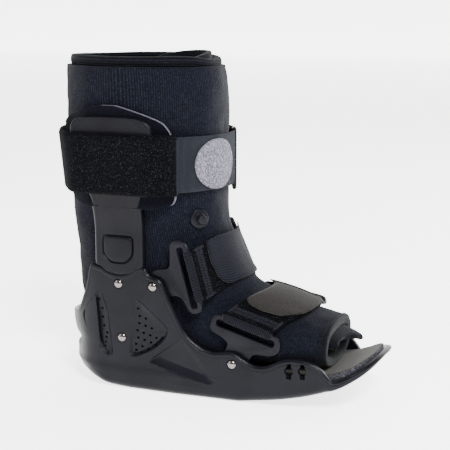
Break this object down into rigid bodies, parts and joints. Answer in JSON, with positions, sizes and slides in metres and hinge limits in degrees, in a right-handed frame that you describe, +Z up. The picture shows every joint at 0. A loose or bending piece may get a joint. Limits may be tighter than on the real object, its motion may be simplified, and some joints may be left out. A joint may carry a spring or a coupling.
{
  "type": "medical walking boot",
  "caption": "Short rocker-sole medical walking boot with a padded open-toe liner, side uprights and hook-and-loop straps.",
  "frame": {"origin": "middle of the flat of the rocker sole, on the ground", "axes": "+X towards the toe, +Z up, -Y towards the outer (lateral) side"},
  "size_m": [0.3231, 0.15, 0.3129],
  "materials": {
    "shell_plastic": "moulded dark charcoal nylon with a fine texture",
    "liner_knit": "brushed loop knit over foam, near-black navy",
    "binding_knit": "ribbed stretch knit, rolled and stitched",
    "strap_pile": "unbroken loop pile, black",
    "strap_webbing": "woven polyester webbing, blue-grey",
    "tab_weave": "woven back of a hook tab, dark grey",
    "grey_felt": "light grey felt",
    "pad_foam": "brushed knit on foam with a grey cut edge",
    "footbed_foam": "closed-cell foam with a tan-grey cover",
    "rivet_steel": "polished domed rivet"
  },
  "bodies": {
    "root": {"rocker_shell": "shell_plastic", "footbed": "footbed_foam", "liner": "liner_knit", "liner_top_binding": "binding_knit", "liner_toe_binding": "binding_knit", "liner_front_flap": "binding_knit", "liner_toe_flap": "binding_knit", "upright_lateral": "shell_plastic", "upright_medial": "shell_plastic", "upright_catch_lateral": "shell_plastic", "upright_catch_medial": "shell_plastic", "upright_pad_lateral": "pad_foam", "upright_pad_medial": "pad_foam", "ankle_bracket_lateral": "shell_plastic", "ankle_bracket_medial": "shell_plastic", "forefoot_bracket_lateral": "shell_plastic", "forefoot_bracket_medial": "shell_plastic", "rivet_upright_top_lateral": "rivet_steel", "rivet_upright_top_medial": "rivet_steel", "rivet_ankle_bracket_lateral": "rivet_steel", "rivet_ankle_bracket_medial": "rivet_steel", "rivet_upright_foot_lateral": "rivet_steel", "rivet_upright_foot_medial": "rivet_steel", "rivet_forefoot_bracket_lateral": "rivet_steel", "rivet_forefoot_bracket_medial": "rivet_steel", "ankle_strap": "strap_pile", "ankle_strap_tab": "tab_weave", "ankle_ring": "shell_plastic", "ankle_ring_webbing": "strap_webbing", "forefoot_strap": "strap_pile", "forefoot_strap_tab": "tab_weave", "forefoot_ring": "shell_plastic", "forefoot_ring_webbing": "strap_webbing", "calf_strap_webbing": "strap_webbing", "calf_strap_pile": "strap_pile", "calf_ring": "shell_plastic", "calf_patch": "grey_felt", "valve_flange": "shell_plastic", "valve_knob": "shell_plastic"}
  },
  "joints": []
}
